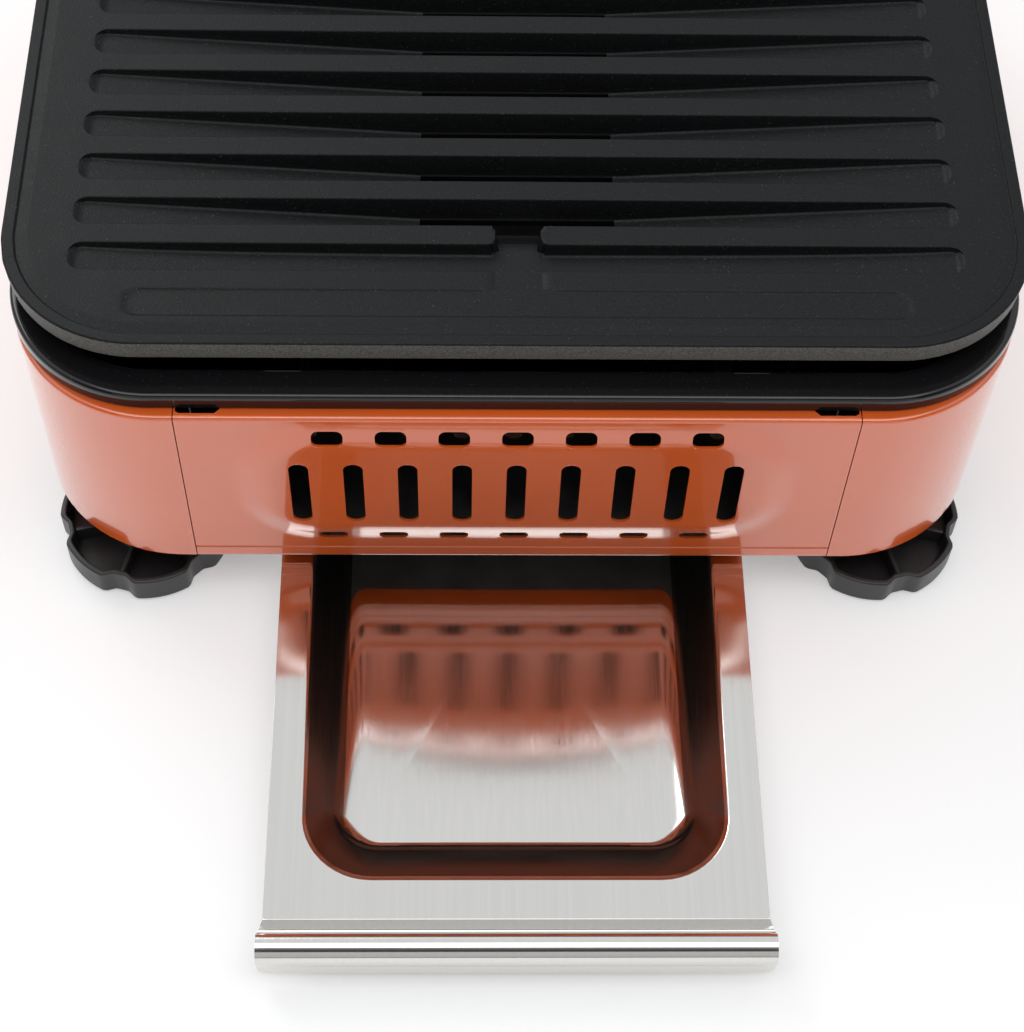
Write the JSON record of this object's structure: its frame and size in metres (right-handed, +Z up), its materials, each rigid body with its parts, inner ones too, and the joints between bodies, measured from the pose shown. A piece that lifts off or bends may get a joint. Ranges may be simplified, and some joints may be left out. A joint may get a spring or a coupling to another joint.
{
  "type": "electric griddle",
  "caption": "Tabletop electric griddle with a ribbed cast plate over a vented steel housing, a slide-out drip tray, levelling feet and rear controls.",
  "frame": {"origin": "on the surface the feet stand on, at the middle of the footprint with the drip tray drawn out", "axes": "+Z up, +Y from the drip tray towards the control side, +X to the right as seen from the tray"},
  "size_m": [0.4, 0.5586, 0.1513],
  "materials": {
    "nonstick_plate": "dark speckled non-stick coating, satin",
    "orange_paint": "gloss orange",
    "black_enamel": "gloss black enamel",
    "brushed_stainless": "lengthways brushed",
    "stainless_sheet": "mill finish",
    "galvanised_steel": "dull galvanised",
    "zinc_plate": "bright zinc",
    "black_plastic": "matt black",
    "element_sheath": "heat-darkened sheath",
    "porcelain": "glazed off-white",
    "amber_lens": "tinted lens",
    "copper": "drawn copper",
    "lead_sleeve": "woven glass sleeve"
  },
  "bodies": {
    "housing": {"inner_pan": "black_enamel", "body_shell": "orange_paint", "front_panel": "orange_paint", "base_pan": "galvanised_steel", "grease_chute": "stainless_sheet", "tray_rail_left": "zinc_plate", "heat_reflector_left": "stainless_sheet", "heating_element_left": "element_sheath", "thermostat_left": "porcelain", "pilot_lens_left": "amber_lens", "pilot_lamp_left": "porcelain", "sensor_bulb_left": "copper", "element_lead_left": "lead_sleeve", "tray_rail_right": "zinc_plate", "heat_reflector_right": "stainless_sheet", "heating_element_right": "element_sheath", "thermostat_right": "porcelain", "pilot_lens_right": "amber_lens", "pilot_lamp_right": "porcelain", "sensor_bulb_right": "copper", "element_lead_right": "lead_sleeve", "weld_nut_front_left": "zinc_plate", "plate_support_front_left": "stainless_sheet", "element_bracket_front_left": "stainless_sheet", "weld_nut_front_right": "zinc_plate", "plate_support_front_right": "stainless_sheet", "element_bracket_front_right": "stainless_sheet", "weld_nut_rear_left": "zinc_plate", "plate_support_rear_left": "stainless_sheet", "element_bracket_rear_left": "stainless_sheet", "weld_nut_rear_right": "zinc_plate", "plate_support_rear_right": "stainless_sheet", "element_bracket_rear_right": "stainless_sheet", "plate_locator_front": "stainless_sheet", "plate_locator_rear": "stainless_sheet", "switch_housing": "black_plastic", "power_inlet": "black_plastic", "terminal_block": "porcelain", "thermal_cutout": "porcelain", "mains_lead": "lead_sleeve", "switch_lead": "lead_sleeve"},
    "plate": {"griddle_plate": "nonstick_plate"},
    "tray": {"drip_tray": "brushed_stainless"},
    "dial_left": {"control_dial_left": "black_plastic", "thermostat_shaft_left": "zinc_plate"},
    "dial_right": {"control_dial_right": "black_plastic", "thermostat_shaft_right": "zinc_plate"},
    "rocker": {"switch_rocker": "amber_lens"},
    "stud_front_left": {"foot_stud_front_left": "zinc_plate"},
    "knob_front_left": {"foot_knob_front_left": "black_plastic"},
    "stud_front_right": {"foot_stud_front_right": "zinc_plate"},
    "knob_front_right": {"foot_knob_front_right": "black_plastic"},
    "stud_rear_left": {"foot_stud_rear_left": "zinc_plate"},
    "knob_rear_left": {"foot_knob_rear_left": "black_plastic"},
    "stud_rear_right": {"foot_stud_rear_right": "zinc_plate"},
    "knob_rear_right": {"foot_knob_rear_right": "black_plastic"}
  },
  "joints": [
    {"name": "plate_lift", "type": "slide", "parent": "housing", "child": "plate", "axis": [0, 0, 1], "range_m": [0, 0.08]},
    {"name": "tray_slide", "type": "slide", "parent": "housing", "child": "tray", "axis": [0, -1, 0], "range_m": [-0.158, 0.1]},
    {"name": "dial_left_turn", "type": "hinge", "parent": "housing", "child": "dial_left", "pos_m": [-0.062, 0.2731, 0.052], "axis": [0, 1, 0], "range_deg": [0, 270]},
    {"name": "dial_right_turn", "type": "hinge", "parent": "housing", "child": "dial_right", "pos_m": [0.062, 0.2731, 0.052], "axis": [0, 1, 0], "range_deg": [0, 270]},
    {"name": "rocker_tilt", "type": "hinge", "parent": "housing", "child": "rocker", "pos_m": [0, 0.2621, 0.054], "axis": [1, 0, 0], "range_deg": [-8, 8]},
    {"name": "foot_front_left_height", "type": "slide", "parent": "housing", "child": "stud_front_left", "axis": [0, 0, -1], "range_m": [-0.006, 0.006]},
    {"name": "foot_front_left_turn", "type": "hinge", "parent": "stud_front_left", "child": "knob_front_left", "pos_m": [-0.1575, -0.0733, 0.007], "axis": [0, 0, 1], "range_deg": [-1440, 1440]},
    {"name": "foot_front_right_height", "type": "slide", "parent": "housing", "child": "stud_front_right", "axis": [0, 0, -1], "range_m": [-0.006, 0.006]},
    {"name": "foot_front_right_turn", "type": "hinge", "parent": "stud_front_right", "child": "knob_front_right", "pos_m": [0.1575, -0.0733, 0.007], "axis": [0, 0, 1], "range_deg": [-1440, 1440]},
    {"name": "foot_rear_left_height", "type": "slide", "parent": "housing", "child": "stud_rear_left", "axis": [0, 0, -1], "range_m": [-0.006, 0.006]},
    {"name": "foot_rear_left_turn", "type": "hinge", "parent": "stud_rear_left", "child": "knob_rear_left", "pos_m": [-0.1575, 0.2331, 0.007], "axis": [0, 0, 1], "range_deg": [-1440, 1440]},
    {"name": "foot_rear_right_height", "type": "slide", "parent": "housing", "child": "stud_rear_right", "axis": [0, 0, -1], "range_m": [-0.006, 0.006]},
    {"name": "foot_rear_right_turn", "type": "hinge", "parent": "stud_rear_right", "child": "knob_rear_right", "pos_m": [0.1575, 0.2331, 0.007], "axis": [0, 0, 1], "range_deg": [-1440, 1440]}
  ],
  "couplings": [
    {"joint": "foot_front_left_height", "follows": "foot_front_left_turn", "m_per_rad": 0.00019894},
    {"joint": "foot_front_right_height", "follows": "foot_front_right_turn", "m_per_rad": 0.00019894},
    {"joint": "foot_rear_left_height", "follows": "foot_rear_left_turn", "m_per_rad": 0.00019894},
    {"joint": "foot_rear_right_height", "follows": "foot_rear_right_turn", "m_per_rad": 0.00019894}
  ]
}
